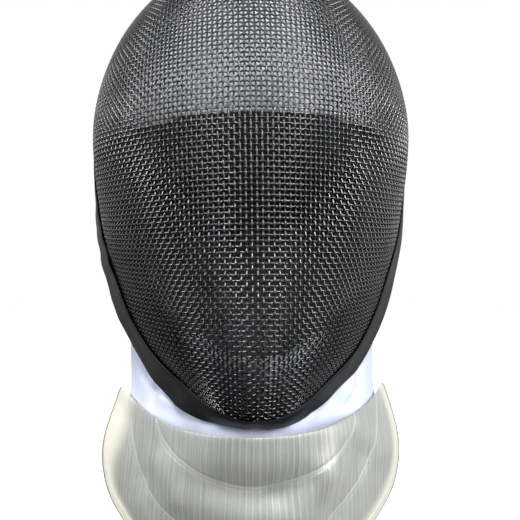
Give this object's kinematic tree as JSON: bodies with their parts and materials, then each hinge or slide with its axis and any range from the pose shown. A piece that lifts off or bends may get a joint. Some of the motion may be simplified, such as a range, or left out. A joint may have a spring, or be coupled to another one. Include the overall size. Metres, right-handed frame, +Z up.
{
  "type": "fencing mask",
  "caption": "Foil-type fencing mask: egg-shaped black wire mesh face with a folded trim, inner padding, white throat bib, conductive outer bib, spring tongue and elastic strap.",
  "frame": {"origin": "the head seat: the lower face of the crown pad, under the crown and in the plane of the mask's greatest width", "axes": "+Z up through the crown, -Y the way the face looks, +X the viewer's right as seen from the front"},
  "size_m": [0.2292, 0.2427, 0.4141],
  "materials": {
    "painted_wire": "gloss black paint on woven steel wire",
    "trim": "smooth black coated cloth binding",
    "white_pad": "white brushed cloth over foam",
    "dark_lining": "dark grey brushed cloth over foam",
    "white_bib": "white woven cloth, padded",
    "conductive_cloth": "silver-grey metal-thread cloth",
    "spring_steel": "plain rolled spring steel",
    "elastic": "black ribbed elastic webbing"
  },
  "bodies": {
    "root": {"mesh_shell": "painted_wire", "rim_trim": "trim", "forehead_pad": "white_pad", "chin_pad": "white_pad", "side_pad_left": "dark_lining", "side_pad_right": "dark_lining", "bib": "white_bib", "bib_lame": "conductive_cloth", "back_spring": "spring_steel", "back_pad": "dark_lining", "back_strap": "elastic"}
  },
  "joints": []
}
